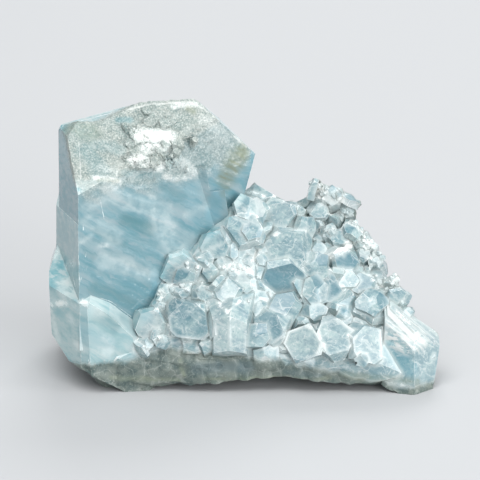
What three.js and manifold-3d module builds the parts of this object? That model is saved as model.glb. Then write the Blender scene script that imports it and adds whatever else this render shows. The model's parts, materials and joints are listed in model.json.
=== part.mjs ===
// A celestite crystal cluster: one big blocky crystal stands at the left of a druse of smaller crystals. All
// of them grew together on a broken crust of massive celestite, so the whole specimen is one solid.
// Millimetres, +Z up. The front faces -Y, +X is to its right, and the finished specimen is set down with the
// middle of its box over the origin.

import * as THREE from "three";
import { ConvexGeometry } from "three/addons/geometries/ConvexGeometry.js";
import { mergeVertices } from "three/addons/utils/BufferGeometryUtils.js";
import Module from "manifold-3d";

const wasm = await Module();
wasm.setup();

// Driving dimensions of the crust
const FRONT_Y = -23; // its broken front
const BACK_Y = 26; // its broken back
const CRUST_HEIGHT = 8.5; // height of its front edge, where the druse begins
const RIDGE = { x: 29, y: 12, z: 40.8 }; // right end of its highest line
const BED_STEEP = { x: -5, slope: 62 }; // the druse's bed is steep in front of the big crystal
const BED_GENTLE = { x: 18, slope: 45 }; // and gentler away from it
const BURIED = 2.2; // how deep the druse's crystals are rooted in the bed
const WORN = 0.9; // how much of the underside's high spots is worn flat
const LIMIT = 60; // reach of the bodies that cut, past any side of the specimen

// Driving dimensions of the big crystal
const TOWER_YAW = 24; // degrees that its broad front is turned to the right
const TOWER_LEAN = 7; // degrees that the front leans back
const PRISM_ANGLE = 96; // between the front and the narrow left side
const TOWER_EDGE = { x: -42.7, y: -17, z: 59.5 }; // top of its front left edge
const TOWER_RIDGE = { y: 2, left: { x: -28, z: 72.1 }, right: { x: -13.2, z: 73.8 } };
const ROOF_PITCH = 44;

const SURFACE = { color: 0xa9c3ca, roughness: 0.25, metalness: 0 };

const degrees = THREE.MathUtils.degToRad;
const clamp = THREE.MathUtils.clamp;

// A unit normal. Yaw 0 looks to the front, 90 to the right and 180 to the back. Pitch is its rise above
// level.
function facing(yaw, pitch) {
  const level = Math.cos(degrees(pitch));
  return new THREE.Vector3(
    Math.sin(degrees(yaw)) * level,
    -Math.cos(degrees(yaw)) * level,
    Math.sin(degrees(pitch)),
  );
}

// A flat face that looks along yaw and pitch and passes through the point x, y, z.
function face(yaw, pitch, x, y, z) {
  const normal = facing(yaw, pitch);
  return { normal, reach: normal.dot(new THREE.Vector3(x, y, z)) };
}

// A narrow face that takes the edge off between two others, depth below that edge.
function bevel(one, other, depth) {
  const normal = one.normal.clone().add(other.normal);
  const size = normal.length();
  return { normal: normal.divideScalar(size), reach: (one.reach + other.reach) / size - depth };
}

// Repeatable random numbers between 0 and 1.
function seeded(seed) {
  let state = seed;
  return () => {
    state = (state + 0x6d2b79f5) | 0;
    let mixed = Math.imul(state ^ (state >>> 15), 1 | state);
    mixed = (mixed + Math.imul(mixed ^ (mixed >>> 7), 61 | mixed)) ^ mixed;
    return ((mixed ^ (mixed >>> 14)) >>> 0) / 4294967296;
  };
}

// The corners where three faces meet inside all the others, closed as a convex body.
function polyhedron(faces) {
  const corners = [];
  const slack = 1e-6;
  for (let i = 0; i < faces.length; i++)
    for (let j = i + 1; j < faces.length; j++)
      for (let k = j + 1; k < faces.length; k++) {
        const [a, b, c] = [faces[i], faces[j], faces[k]];
        const cross = new THREE.Vector3().crossVectors(b.normal, c.normal);
        const size = a.normal.dot(cross);
        if (Math.abs(size) < slack) continue;
        const corner = cross.multiplyScalar(a.reach);
        corner.addScaledVector(new THREE.Vector3().crossVectors(c.normal, a.normal), b.reach);
        corner.addScaledVector(new THREE.Vector3().crossVectors(a.normal, b.normal), c.reach);
        corner.divideScalar(size);
        if (faces.every((f) => f.normal.dot(corner) <= f.reach + slack)) corners.push(corner);
      }
  return new ConvexGeometry(corners);
}

// Closed geometry as a body that can be joined and cut.
function solid(geometry) {
  const bare = geometry.clone();
  bare.deleteAttribute("normal");
  bare.deleteAttribute("uv");
  const merged = mergeVertices(bare, 1e-4);
  const mesh = new wasm.Mesh({
    numProp: 3,
    vertProperties: new Float32Array(merged.attributes.position.array),
    triVerts: new Uint32Array(merged.index.array),
  });
  return new wasm.Manifold(mesh);
}

const block = (faces) => solid(polyhedron(faces));

// A broken body: its surface follows the faces as seen from its centre, with smaller breaks as waves of three
// sizes.
function broken(faces, centre, detail, roughness) {
  const middle = new THREE.Vector3(...centre);
  const geometry = new THREE.IcosahedronGeometry(1, detail);
  const place = geometry.attributes.position;
  const way = new THREE.Vector3();
  const wave = (a, b, c, shift) => {
    const across = Math.sin(way.x * a + shift) * Math.sin(way.y * b + 2 * shift);
    return across + Math.sin(way.z * c + shift) * Math.sin(way.x * b);
  };
  for (let i = 0; i < place.count; i++) {
    way.fromBufferAttribute(place, i).normalize();
    let reach = LIMIT;
    for (const f of faces) {
      const towards = f.normal.dot(way);
      if (towards > 0.02) reach = Math.min(reach, (f.reach - f.normal.dot(middle)) / towards);
    }
    const rough = wave(7, 9, 8, 1) + 0.7 * wave(17, 15, 19, 2) + 0.5 * wave(31, 37, 29, 3);
    way.multiplyScalar(reach * (1 + roughness * rough)).add(middle);
    place.setXYZ(i, way.x, way.y, way.z);
  }
  return solid(geometry);
}

// Celestite's crystal forms about the axis that its crystals grow along (here Z), from its cell of 8.36 x
// 5.35 x 6.87 angstroms. Four long faces make a rhombus of 76 and 104 degrees and two blunt it. The end is a
// chisel of two broad faces with two steeper ones on its flanks and four small corners.
const LONG = new THREE.Vector3(0.789, 0.615, 0);
const CHISEL = new THREE.Vector3(0.615, 0, 0.788);
const FLANK = new THREE.Vector3(0, 0.773, 0.635);
const CORNER = new THREE.Vector3(0.704, 0.549, 0.451);

const SMALL = 4; // crystals under this half size have two of the four corners
const CROWDED = 1.3; // the larger crystals have grown into each other by this much
const END_TILT = 9; // degrees that a crystal's blunt end is off its axis, at most

// One crystal. wide and thick are its half sizes across, and its tip stands out that far from its root. blunt
// is the share of its width that the broad face on its end takes.
function crystal(wide, thick, out, blunt, next) {
  const faces = [{ normal: new THREE.Vector3(0, 0, -1), reach: 3 + wide }];
  const near = (value, spread) => value * (1 + spread * (2 * next() - 1));
  const add = (x, y, z, reach) => faces.push({ normal: new THREE.Vector3(x, y, z), reach });
  const end = facing(360 * next(), 90 - END_TILT * next());
  add(end.x, end.y, end.z, out * end.z);
  // A face that takes the end's edge off, where share is the part of each half width that it leaves.
  const cut = (x, y, z, share) => {
    const across = Math.abs(x) * wide + Math.abs(y) * thick;
    add(x, y, z, across * share + z * out);
  };
  for (const side of [-1, 1]) {
    add(0, side, 0, near(thick, 0.1));
    cut(side * CHISEL.x, 0, CHISEL.z, near(blunt, 0.25));
    cut(0, side * FLANK.y, FLANK.z, near(blunt, 0.25));
    for (const across of [-1, 1]) {
      add(side * LONG.x, across * LONG.y, 0, near(wide * LONG.x, 0.1));
      const cornered = wide > SMALL || side === across;
      if (cornered) cut(side * CORNER.x, across * CORNER.y, CORNER.z, near(0.75 * blunt, 0.2));
    }
  }
  return polyhedron(faces);
}

// Sets a crystal's root at a point. Its axis looks along yaw and pitch, and turn spins it about that axis.
function planted(geometry, [x, y, z], yaw, pitch, turn) {
  const up = new THREE.Vector3(0, 0, 1);
  const toAxis = new THREE.Quaternion().setFromUnitVectors(up, facing(yaw, pitch));
  const spin = new THREE.Quaternion().setFromAxisAngle(up, degrees(turn));
  return solid(geometry.applyQuaternion(toAxis.multiply(spin)).translate(x, y, z));
}

// A point of the druse's bed: x along the front, up the slope, and lift off it.
function bedSlope(x) {
  const along = clamp((x - BED_STEEP.x) / (BED_GENTLE.x - BED_STEEP.x), 0, 1);
  return BED_STEEP.slope + (BED_GENTLE.slope - BED_STEEP.slope) * along;
}
function onBed(x, up, lift) {
  const slope = degrees(bedSlope(x));
  const y = FRONT_Y + 1.5 + up * Math.cos(slope) - lift * Math.sin(slope);
  return [x, y, CRUST_HEIGHT + up * Math.sin(slope) + lift * Math.cos(slope)];
}

// The big crystal: a broad front, a narrow left side, a roof that slopes to the front, and a right side that
// overhangs the druse.
const towerFront = face(TOWER_YAW, TOWER_LEAN, TOWER_EDGE.x, TOWER_EDGE.y, TOWER_EDGE.z);
const towerRoof = face(TOWER_YAW - 20, ROOF_PITCH, -29, TOWER_RIDGE.y - 12.5, 59.8);
function tower() {
  const { x, y, z } = TOWER_EDGE;
  const { left, right } = TOWER_RIDGE;
  const ridge = TOWER_RIDGE.y;
  const leftSide = face(TOWER_YAW - PRISM_ANGLE, 2.4, x, y, z);
  const farLeft = face(-93, 0, -48.8, 0, 60);
  const back = face(180 + TOWER_YAW, -4, -25, 19, 40);
  const bottom = face(0, -90, 0, 0, 12);
  const chamfer = face(-70, 49, -44, -11, 65.6);
  const topLeft = face(-90, 24, -48.7, -3, 64.4);
  const rightTop = face(106, 45, right.x, ridge, right.z);
  const rightFront = face(52, 3, -2, -7.5, 60);
  const rightSide = face(80, -9, 4.2, 0, 62);
  const main = block([
    towerFront,
    bevel(towerFront, leftSide, 0.15),
    leftSide,
    farLeft,
    back,
    bottom,
    chamfer,
    topLeft,
    towerRoof,
    bevel(towerFront, towerRoof, 0.25),
    face(-90, 69, left.x, ridge, left.z - 0.3),
    face(188, 50, left.x, ridge, left.z),
    face(180 - 50, 12, -4, 13, 60),
    rightTop,
    bevel(towerRoof, rightTop, 0.45),
    rightFront,
    rightSide,
    face(97, -17, 4.6, 4, 62),
  ]);
  const shoulder = block([
    towerFront,
    leftSide,
    farLeft,
    chamfer,
    topLeft,
    back,
    bottom,
    towerRoof,
    face(180, 60, -43, -3.8, 69.1),
    face(90, 0, -36, 0, 40),
  ]);
  const leftPlate = block([
    towerFront,
    face(TOWER_YAW - PRISM_ANGLE, 2, -48.2, -3, 40),
    face(-92, 1, -49.6, 6, 40),
    face(-80, 62, -50, 2, 43.5),
    face(180, 0, 0, 14, 0),
    face(90, 0, -40, 0, 0),
    bottom,
  ]);
  return [main, shoulder, leftPlate];
}

// The rounded block under the big crystal, with a ledge that runs down to the right.
function foot() {
  return block([
    face(10, 4, -38, -23, 14),
    face(-16, 3, -43, -22.6, 14),
    face(-46, 2, -48, -16.5, 25),
    face(-88, -2, -51.4, 0, 22),
    face(-86, -38, -51.6, 0, 13.2),
    face(-70, -58, -46.4, -12.4, 6.6),
    face(-40, -50, -40, -20, 3),
    face(53, 45, -45.7, -22.3, 29.8),
    face(62, 38, -35.3, -18.5, 23.9),
    face(-30, 62, -46, -14, 27.5),
    face(62, 8, -24, -18, 8),
    face(-92, 20, -51.5, 4, 27),
    face(180, 14, -40, 16, 12),
    face(0, -90, 0, 0, -WORN),
  ]);
}

// The block at the right end. Its bright top is cleaved in thin steps and slopes to the front and right.
function rightEnd() {
  const corner = { x: 45, y: -22, z: 11.4 };
  const stepHeight = 0.5;
  const stepDepth = 1.1;
  return [0, 1, 2, 3].map((i) =>
    block([
      face(-12, 13, corner.x, corner.y + stepDepth * i, corner.z),
      face(40, 11, corner.x, corner.y + stepDepth * i, corner.z),
      face(26, 42, corner.x, corner.y, corner.z + stepHeight * i),
      face(75, 48, 48.9, -16, 13.4),
      face(92, -10, 52.1 - 0.4 * i, -10, 12),
      face(172, 26, 44, -13.5 + 0.4 * i, 17.6),
      face(-84, 4, 36.5 + 0.7 * i, -16, 10),
      face(-90, -64, 41, 0, 0),
      face(0, -90, 0, 0, -WORN),
    ]),
  );
}

// The crust, with the steep bed in front of the big crystal and the gentler one to its right.
function crust() {
  const under = [
    face(0, -90, 0, 0, -WORN),
    face(165, 8, 10, BACK_Y, 12),
    face(-165, 4, -25, BACK_Y - 3, 12),
    face(180, -30, 0, BACK_Y - 1, 5),
    face(-90, 0, -48.5, 0, 20),
    face(-86, -40, -48, 0, 12),
    face(-120, 20, -45, 13, 20),
  ];
  const front = face(0, -4, 0, FRONT_Y, 6);
  const gentle = face(0, 90 - BED_GENTLE.slope, 0, FRONT_Y + 1.5, CRUST_HEIGHT + BURIED);
  const steep = face(0, 90 - BED_STEEP.slope, 0, FRONT_Y + 1, CRUST_HEIGHT + BURIED);
  const main = [
    ...under,
    front,
    gentle,
    face(115, 15, RIDGE.x, RIDGE.y - 3.8, RIDGE.z - 1.2),
    face(180, 30, 0, RIDGE.y + 3, RIDGE.z),
    face(0, 88, 0, RIDGE.y, RIDGE.z),
    face(95, -8, 49.5, -10, 8),
  ];
  const against = [
    ...under,
    front,
    steep,
    face(33, 32, -5, -3.4, 46),
    face(72, 34, 11, 4, 42),
    face(20, 75, 0, 0, 45),
    face(180, 10, 0, 12, 40),
    face(-60, 30, -27, -18, 14),
    face(-104, 44, -18.5, -10, 31.2),
  ];
  return [broken(main, [0, 4, 13], 7, 0.022), broken(against, [-8, 2, 18], 5, 0.015)];
}

// Cleaved steps that climb the back of the big crystal, each one set back behind the one below it.
function backSteps() {
  return [0, 1, 2, 3].map((i) =>
    block([
      face(180 + TOWER_YAW, -3, -25, 24.6 - 1.1 * i, 30),
      face(190, 62, -24, 22 - 1.1 * i, 27 + 8 * i),
      face(-84 + 4 * i, 8, -47 + 4.5 * i, 10, 20),
      face(160 - 6 * i, 8, -14 - 2 * i, 25.5 - i, 20),
      face(104, 8, -1 - 4 * i, 14, 20),
      face(0, 0, 0, -4, 0),
      face(0, -90, 0, 0, 6),
    ]),
  );
}

// The druse's larger crystals: x and up on the bed, half sizes, how far out, yaw, pitch, turn and how blunt.
const DRUSE = [
  [2.5, 39.4, 3.5, 4, 4.5, 10, 45, 20, 0.6],
  [0.3, 34.4, 4.4, 4.7, 4.5, 5, 28, 75, 0.7],
  [9.5, 39.4, 4.3, 4, 4.5, -8, 32, 100, 0.75],
  [13.3, 37.3, 3.2, 3.2, 4.5, 15, 35, 30, 0.5],
  [11.6, 29.6, 6.7, 5.6, 5.5, 0, 26, 45, 0.7],
  [15, 41, 2.4, 2.4, 5, -10, 55, 10, 0.15],
  [21.6, 44.8, 2.4, 2.1, 5.2, -2, 66, 30, 0.8],
  [24.6, 44.6, 1.9, 1.8, 5.4, 16, 70, 50, 0.8],
  [20.1, 42.6, 2.7, 2.4, 4, 5, 30, 60, 0.6],
  [18.8, 30.1, 2.9, 3.5, 4, 25, 20, 15, 0.7],
  [23.3, 36.1, 2.4, 1.9, 3.5, -10, 40, 70, 0.5],
  [25.3, 27.8, 2.7, 2.4, 4.5, -30, 60, 20, 0.6],
  [25.1, 34.6, 2.4, 3.5, 4, 15, 30, 80, 0.5],
  [26, 27, 3.5, 3.5, 4.5, 30, 35, 60, 0.7],
  [28.5, 36.7, 2.7, 2.9, 3.5, 30, 45, 20, 0.4],
  [10.2, 23, 5.6, 4.3, 4, -6, 5, 5, 0.8],
  [19.5, 20.9, 5.3, 5.6, 5, 8, 30, 70, 0.75],
  [26.9, 22.7, 3.2, 2.7, 4, 20, 20, 15, 0.6],
  [10.5, 13.7, 5.3, 3.7, 4, -5, 40, 60, 0.6],
  [19.1, 13.9, 4.3, 3.5, 3.5, 10, 25, 20, 0.5],
  [26.8, 14.8, 4.3, 4, 3.5, 14, 15, 85, 0.6],
  [36, 14.3, 5.9, 4, 3.5, 30, 45, 25, 0.7],
  [16.5, 4.5, 4.3, 4.5, 5.2, -10, 26, 65, 0.8],
  [23.3, 5.8, 4.6, 4.8, 5.4, 10, 30, 20, 0.8],
  [31.2, 4.3, 4.8, 4.6, 4.2, 18, 22, 50, 0.75],
  [7, 7.8, 5.2, 4.6, 4.2, -6, 25, 30, 0.6],
  [-3.8, 17.5, 3.7, 3.5, 4, -5, 35, 10, 0.6],
  [-13.8, 11.4, 5, 5, 5, -8, 12, 40, 0.8],
  [-24, 9.4, 4.3, 4.5, 3, -14, 10, 55, 0.6],
  [-10, 26.7, 2.4, 2.1, 2.6, 0, 30, 30, 0.5],
  [-7.4, 30.4, 3.6, 3.4, 2.6, -8, 20, 60, 0.8],
  [-16.2, 23.9, 4.3, 3.7, 2.2, -4, 6, 12, 0.85],
  [-2.8, 22.1, 3.5, 2.7, 2.4, 0, 40, 0, 0.2],
  [-10.1, 17.5, 2.9, 3.2, 3, -10, 30, 25, 0.4],
];

// The upright crystal at the front of the druse: two long faces meet in an edge down its middle, and its end
// is a small roof that slopes to the front.
function upright() {
  const edge = { x: -3.4, y: -24.6, z: 13 };
  return block([
    face(-13, 9, edge.x, edge.y, edge.z),
    face(15, 9, edge.x, edge.y, edge.z),
    face(-72, 2, edge.x - 4.4, edge.y + 1.5, edge.z),
    face(74, 2, edge.x + 4.4, edge.y + 1.5, edge.z),
    face(-32, 50, edge.x, edge.y + 1.4, edge.z + 8.6),
    face(36, 40, edge.x, edge.y + 1.4, edge.z + 8.6),
    face(0, 90, 0, 0, edge.z + 12),
    face(180, 0, 0, -12, 0),
    face(0, -42, edge.x, edge.y, edge.z - 0.6),
  ]);
}

// Small crystals fill the druse between the larger ones and stand along its ridge and right rim.
function smallCrystals(next) {
  const grown = [];
  const between = (a, b) => a + (b - a) * next();
  const leftEnd = (up) => (up < 26 ? Math.min(-20, -29.5 + 0.56 * (up - 4)) : -13 + 0.9 * (up - 28));
  const rightEndX = (up) => 53.6 - 0.54 * up;
  const spots = DRUSE.map(([x, up, wide]) => ({ x, up, wide }));
  const wanted = 46;
  for (let tries = 0; tries < 4000 && grown.length < wanted; tries++) {
    const up = between(3.5, 46);
    const wide = between(2.2, 4.2);
    const x = between(leftEnd(up) + 1.5, rightEndX(up) - 0.7 * wide);
    const crowded = spots.some((s) => Math.hypot(s.x - x, s.up - up) < 0.6 * (s.wide + wide));
    const overRidge = x < 18 && up > 41;
    const onRightEnd = x > 34 && up < 13;
    if (crowded || overRidge || onRightEnd) continue;
    spots.push({ x, up, wide });
    const body = crystal(wide, wide * between(0.7, 1), between(2, 3.2), between(0.2, 0.75), next);
    grown.push(planted(body, onBed(x, up, 0.4), between(-30, 45), between(20, 70), between(0, 180)));
  }
  return grown;
}

// Low blocky crystals on the big crystal's roof, in parallel growth with it, and a broad one at its front
// edge.
function roofCrystals(next) {
  const grown = [];
  const between = (a, b) => a + (b - a) * next();
  const wanted = 22;
  for (let i = 0; i < wanted; i++) {
    const inPatch = i < 15;
    const x = inPatch ? between(-31, -17) : between(-28, -8);
    const y = inPatch ? between(-10, -3) : between(-6, 1);
    const z = (towerRoof.reach - towerRoof.normal.x * x - towerRoof.normal.y * y) / towerRoof.normal.z;
    const wide = between(1, 2.4);
    const body = crystal(wide, wide * between(0.6, 1), between(0.2, 0.8), 0.7, next);
    const yaw = TOWER_YAW - 14 + between(-12, 12);
    const pitch = ROOF_PITCH + between(-10, 14);
    grown.push(planted(body, [x, y, z], yaw, pitch, between(-15, 15)));
  }
  const flake = crystal(4.4, 2.7, 0.5, 0.85, next);
  grown.push(planted(flake, [-25.7, -9.4, 60.3], 6, 40, 8));
  return grown;
}

// The hollow under the front, and the ground that the specimen was worn flat on.
function hollow() {
  return broken(
    [
      face(0, 0, 0, -LIMIT / 2, 0),
      face(-90, 86, 12, FRONT_Y, 4.4),
      face(-90, 68, -18, FRONT_Y, 2.9),
      face(90, 81, 13, FRONT_Y, 4.5),
      face(180, 82, 0, FRONT_Y, 4.6),
      face(0, -90, 0, 0, -6),
      face(180, 0, 0, 10, 0),
    ],
    [6, -14, 0.5],
    4,
    0.02,
  );
}
const ground = () => solid(new THREE.BoxGeometry(4 * LIMIT, 4 * LIMIT, LIMIT).translate(0, 0, -LIMIT / 2));

const next = seeded(7);
const druse = DRUSE.map(([x, up, wide, thick, out, yaw, pitch, turn, blunt]) =>
  planted(crystal(CROWDED * wide, CROWDED * thick, out, blunt, next), onBed(x, up, 0.5), yaw, pitch, turn),
);
const grown = [
  ...tower(),
  ...roofCrystals(next),
  foot(),
  ...rightEnd(),
  ...crust(),
  ...backSteps(),
  ...druse,
  upright(),
  ...smallCrystals(next),
];
const whole = wasm.Manifold.union(grown).subtract(hollow()).subtract(ground());

const surface = whole.getMesh();
const geometry = new THREE.BufferGeometry();
geometry.setAttribute("position", new THREE.BufferAttribute(surface.vertProperties, 3));
geometry.setIndex(new THREE.BufferAttribute(surface.triVerts, 1));
geometry.computeBoundingBox();
const middle = geometry.boundingBox.getCenter(new THREE.Vector3());
geometry.translate(-middle.x, -middle.y, 0);

const body = new THREE.Mesh(geometry, new THREE.MeshStandardMaterial(SURFACE));
body.name = "celestite_cluster";

const cluster = new THREE.Group();
cluster.add(body);

export default cluster;
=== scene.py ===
# %% [markdown]
# A celestite crystal cluster
#
# The specimen is one natural piece of pale blue celestite: a big blocky crystal on the left, a slope of
# smaller crystals on the right, and a broken crust under both. The frame holds it as one faceted solid.
# This lesson gives that solid its real surface: fine crystals, frost, broken rind and a see-through body.

import json
import math
import random

import bmesh
import bpy
import numpy as np
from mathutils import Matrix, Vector, noise
from mathutils.bvhtree import BVHTree
from mathutils.kdtree import KDTree

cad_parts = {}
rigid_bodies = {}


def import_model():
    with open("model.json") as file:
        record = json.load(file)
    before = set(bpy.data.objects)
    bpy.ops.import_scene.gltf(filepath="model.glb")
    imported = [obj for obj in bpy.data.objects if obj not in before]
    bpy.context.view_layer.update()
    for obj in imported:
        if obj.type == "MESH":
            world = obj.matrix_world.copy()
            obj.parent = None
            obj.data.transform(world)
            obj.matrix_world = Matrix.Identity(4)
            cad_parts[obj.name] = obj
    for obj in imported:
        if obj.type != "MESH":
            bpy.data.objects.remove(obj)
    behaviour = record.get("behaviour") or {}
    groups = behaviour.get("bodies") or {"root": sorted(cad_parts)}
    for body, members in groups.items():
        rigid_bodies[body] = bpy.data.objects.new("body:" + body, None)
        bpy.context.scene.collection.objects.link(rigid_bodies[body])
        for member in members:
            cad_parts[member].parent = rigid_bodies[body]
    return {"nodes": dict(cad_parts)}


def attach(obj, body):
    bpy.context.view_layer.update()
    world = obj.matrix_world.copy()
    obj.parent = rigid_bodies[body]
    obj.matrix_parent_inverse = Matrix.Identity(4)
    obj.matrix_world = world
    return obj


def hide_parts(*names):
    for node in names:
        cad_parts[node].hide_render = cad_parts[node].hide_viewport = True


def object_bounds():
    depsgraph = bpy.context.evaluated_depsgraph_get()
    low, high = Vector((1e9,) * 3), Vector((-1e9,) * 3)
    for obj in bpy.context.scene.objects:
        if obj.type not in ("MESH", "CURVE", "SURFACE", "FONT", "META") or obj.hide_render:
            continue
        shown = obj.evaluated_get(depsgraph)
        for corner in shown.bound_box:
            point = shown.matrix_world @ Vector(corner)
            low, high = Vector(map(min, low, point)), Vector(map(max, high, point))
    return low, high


MM = 0.001
NODE = "celestite_cluster"

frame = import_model()
cad_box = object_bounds()
solid = frame["nodes"][NODE]
print("solid:", len(solid.data.polygons), "faces,", [round(v / MM, 1) for v in cad_box[1] - cad_box[0]], "mm")

# %% [markdown]
# The camera comes first, because marks on the stone are placed by what it sees. It stands 0.8 m in front of
# the specimen and 20 degrees above it. A long lens keeps the perspective as flat as in the photograph.
# One pixel shows 0.267 mm of the specimen.

# %% Camera
IMAGE = 480
PIXEL = 0.2667 * MM
DISTANCE = 0.8
ELEVATION = math.radians(20)
AIM = Vector((-0.82 * MM, -1.7 * MM, 34.5 * MM))

camera = bpy.data.objects.new("camera", bpy.data.cameras.new("camera"))
bpy.context.scene.collection.objects.link(camera)
towards_camera = Vector((0, -math.cos(ELEVATION), math.sin(ELEVATION)))
camera.location = AIM + DISTANCE * towards_camera
camera.rotation_euler = (math.pi / 2 - ELEVATION, 0, 0)
camera.data.sensor_width = 36
camera.data.lens = 18 * DISTANCE / (IMAGE / 2 * PIXEL)
bpy.context.scene.camera = camera
print("lens:", round(camera.data.lens), "mm")

# %% [markdown]
# The studio is a wide pale floor, a pale sky that fills the shadows, and four soft lamps: a large one above
# the front, a low one at the front right, a weak one on the right, and one behind for the thin edges. A
# crystal face is a mirror, so a small strong lamp would burn single faces out to white. These lamps are
# large, and none stands where the faces that look to the front would mirror it.

# %% Studio
# Each lamp's place and size in metres, and its power in watts.
LAMPS = {
    "key": ((-0.3, -0.4, 1.25), 0.9, 12),
    "front": ((0.85, -1.2, 0.35), 1.0, 18),
    "side": ((0.95, -0.3, 0.6), 0.5, 4),
    "back": ((0.1, 0.8, 0.8), 0.5, 6),
}
SKY = (0.96, 0.98, 1, 1)
SKY_STRENGTH = 0.55
for name, (spot, size, power) in LAMPS.items():
    lamp = bpy.data.objects.new(name, bpy.data.lights.new(name, "AREA"))
    bpy.context.scene.collection.objects.link(lamp)
    lamp.data.size = size
    lamp.data.energy = power
    lamp.location = spot
    lamp.rotation_euler = (AIM - lamp.location).to_track_quat("-Z", "Y").to_euler()

bpy.context.scene.view_settings.view_transform = "Standard"
world = bpy.data.worlds.new("studio")
bpy.context.scene.world = world
world.use_nodes = True
sky = world.node_tree.nodes["Background"].inputs
sky["Color"].default_value = SKY
sky["Strength"].default_value = SKY_STRENGTH
print("lamps:", len(LAMPS))

# %% [markdown]
# The floor is a plane of matt paper. It only catches the shadow, and it isn't part of the specimen.

# %% Floor
FLOOR_SIZE = 6
PAPER = (0.44, 0.45, 0.46, 1)
bpy.ops.mesh.primitive_plane_add(size=FLOOR_SIZE)
floor = bpy.context.object
floor.name = "floor"
paper = bpy.data.materials.new("pale_paper")
paper.use_nodes = True
paper_shader = paper.node_tree.nodes["Principled BSDF"].inputs
paper_shader["Base Color"].default_value = PAPER
paper_shader["Roughness"].default_value = 0.9
floor.data.materials.append(paper)
print("floor:", FLOOR_SIZE, "m wide")

# %% [markdown]
# The frame's solid is loose triangles. A merged copy of it is the ground for everything else. Long thin
# triangles would spoil the relief later, so Blender's Beautify Faces turns the edges inside each flat face.
# Triangles that lie in one plane get one number, so a whole crystal face can be lighter or darker than its
# neighbours.

# %% Crystal faces
WELD = 0.001 * MM
FLAT = math.radians(0.6)
ONE_FACE = math.radians(3)


def merged(mesh, weld=0):
    """A bmesh of the mesh, in triangles that are as regular as its flat faces allow."""
    made = bmesh.new()
    made.from_mesh(mesh)
    if weld:
        bmesh.ops.remove_doubles(made, verts=made.verts, dist=weld)
    bmesh.ops.triangulate(made, faces=made.faces)
    flat = [e for e in made.edges if e.calc_face_angle(0) < FLAT]
    bmesh.ops.beautify_fill(made, faces=made.faces, edges=flat)
    made.normal_update()
    made.verts.index_update()
    made.faces.index_update()
    return made


def faces_of(surface):
    """Numbers the flat faces of a bmesh: neighbours that lie in one plane share a number."""
    numbers = {}
    count = 0
    for first in surface.faces:
        if first.index in numbers:
            continue
        numbers[first.index] = count
        waiting = [first]
        while waiting:
            for e in waiting.pop().edges:
                if e.calc_face_angle(0) > ONE_FACE:
                    continue
                for f in e.link_faces:
                    if f.index not in numbers:
                        numbers[f.index] = count
                        waiting.append(f)
        count += 1
    return np.array([numbers[f.index] for f in surface.faces])


stone = merged(solid.data, WELD)
print("triangles:", len(stone.faces), "open edges:", sum(not e.is_manifold for e in stone.edges))

# %% [markdown]
# A mark on the stone is named by the pixel where the photograph shows it. A line from the camera through
# that pixel meets the solid at the mark's real place, so the mark sits on the surface from every side.

# %% Places on the stone
stone_skin = BVHTree.FromBMesh(stone)


def look_at(px, py, skin=stone_skin):
    """The point that the photograph shows at this pixel, and the number of its triangle."""
    half = IMAGE / 2
    across = (px - half) * PIXEL / DISTANCE
    up = (half - py) * PIXEL / DISTANCE
    way = camera.rotation_euler.to_matrix() @ Vector((across, up, -1))
    place, _, index, _ = skin.ray_cast(camera.location, way.normalized())
    return place, index


def seen_at(px, py):
    return look_at(px, py)[0]


print("top of the big crystal:", [round(v / MM, 1) for v in seen_at(185, 110)])

# %% [markdown]
# The facets are large. Their edges are halved until every triangle is small enough to carry relief. Where
# one, two or three edges of a triangle are halved, it becomes two, three or four triangles. The finest
# triangles go where the surface is roughest: the etched roof and the striated crystal at the right end.

# %% Small triangles
LONGEST = 1.25 * MM
LONGEST_ROOF = 0.8 * MM
LONGEST_STRIATED = 0.5 * MM
LONGEST_BEHIND = 2.4 * MM
ROOF_FROM = 55 * MM
BEHIND_FROM = 8 * MM
UNDERSIDE = 0.1 * MM
STRIATED = np.array(seen_at(407, 331))
STRIATED_REACH = 8 * MM
PASSES = 7


def halved(points, triangles, owners, longest):
    """The mesh with each edge longer than longest(middle) cut in two."""
    sides = np.sort(triangles[:, [[0, 1], [1, 2], [2, 0]]], axis=2).reshape(-1, 2)
    edges, side_of = np.unique(sides, axis=0, return_inverse=True)
    ends = points[edges]
    long = np.linalg.norm(ends[:, 0] - ends[:, 1], axis=1) > longest(ends.mean(axis=1))
    middle_of = np.full(len(edges), -1)
    middle_of[long] = len(points) + np.arange(long.sum())
    points = np.vstack([points, ends[long].mean(axis=1)])
    middles = middle_of[side_of.reshape(-1)].reshape(-1, 3)
    cuts = (middles >= 0).sum(axis=1)
    made = [triangles[cuts == 0]]
    made_owners = [owners[cuts == 0]]
    for count in (1, 2, 3):
        corners = triangles[cuts == count]
        mids = middles[cuts == count]
        if count < 3:
            # Turn each triangle so that its odd side, the cut one or the whole one, comes first.
            odd = np.argmax((mids >= 0) == (count == 1), axis=1)
            turned = (odd[:, None] + np.arange(3)) % 3
            corners = np.take_along_axis(corners, turned, axis=1)
            mids = np.take_along_axis(mids, turned, axis=1)
        a, b, c = corners.T
        ab, bc, ca = mids.T
        if count == 1:
            parts = [(a, ab, c), (ab, b, c)]
        elif count == 2:
            parts = [(ca, bc, c), (a, b, bc), (a, bc, ca)]
        else:
            parts = [(a, ab, ca), (ab, b, bc), (ca, bc, c), (ab, bc, ca)]
        made += [np.stack(part, axis=1) for part in parts]
        made_owners += [owners[cuts == count]] * len(parts)
    return points, np.vstack(made), np.concatenate(made_owners)


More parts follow.
